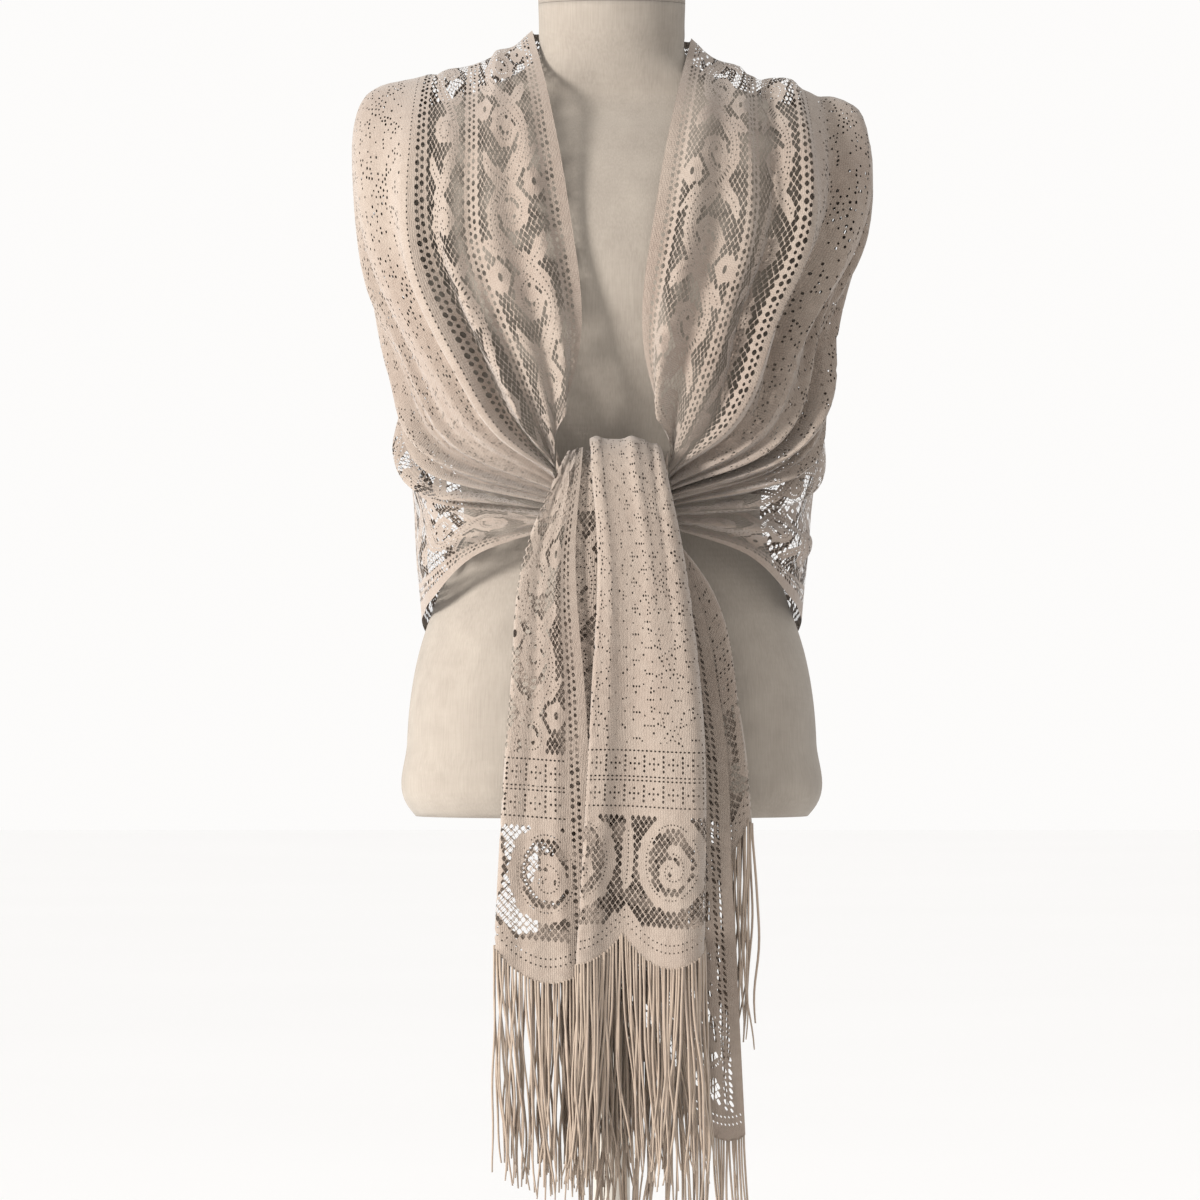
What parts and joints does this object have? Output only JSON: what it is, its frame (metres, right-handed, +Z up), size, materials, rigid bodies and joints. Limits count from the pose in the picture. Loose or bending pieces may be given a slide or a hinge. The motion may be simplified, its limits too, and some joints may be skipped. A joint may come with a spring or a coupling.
{
  "type": "lace shawl on dress form",
  "caption": "Rectangular scroll-lace shawl with fringed ends, worn over the shoulders and tied at the waist of a limbless dress form on a round stand.",
  "frame": {"origin": "centre of the underside of the stand's base", "axes": "+Z up, -Y towards the front of the form, +X towards the right as seen from the front"},
  "size_m": [0.4249, 0.3588, 1.5],
  "materials": {
    "lace": "soft knitted lace, beige, slight sheen",
    "fringe": "loose beige yarn ends",
    "linen": "plain woven linen cover",
    "stand_paint": "satin off-white paint"
  },
  "bodies": {
    "root": {"shawl_back": "lace", "shawl_left_front": "lace", "shawl_right_front": "lace", "shawl_knot": "lace", "shawl_front_tail": "lace", "shawl_rear_tail": "lace", "front_fringe": "fringe", "rear_fringe": "fringe", "form_torso": "linen", "form_neck_cap": "linen", "form_collar": "stand_paint", "form_pole": "stand_paint", "form_base": "stand_paint"}
  },
  "joints": []
}
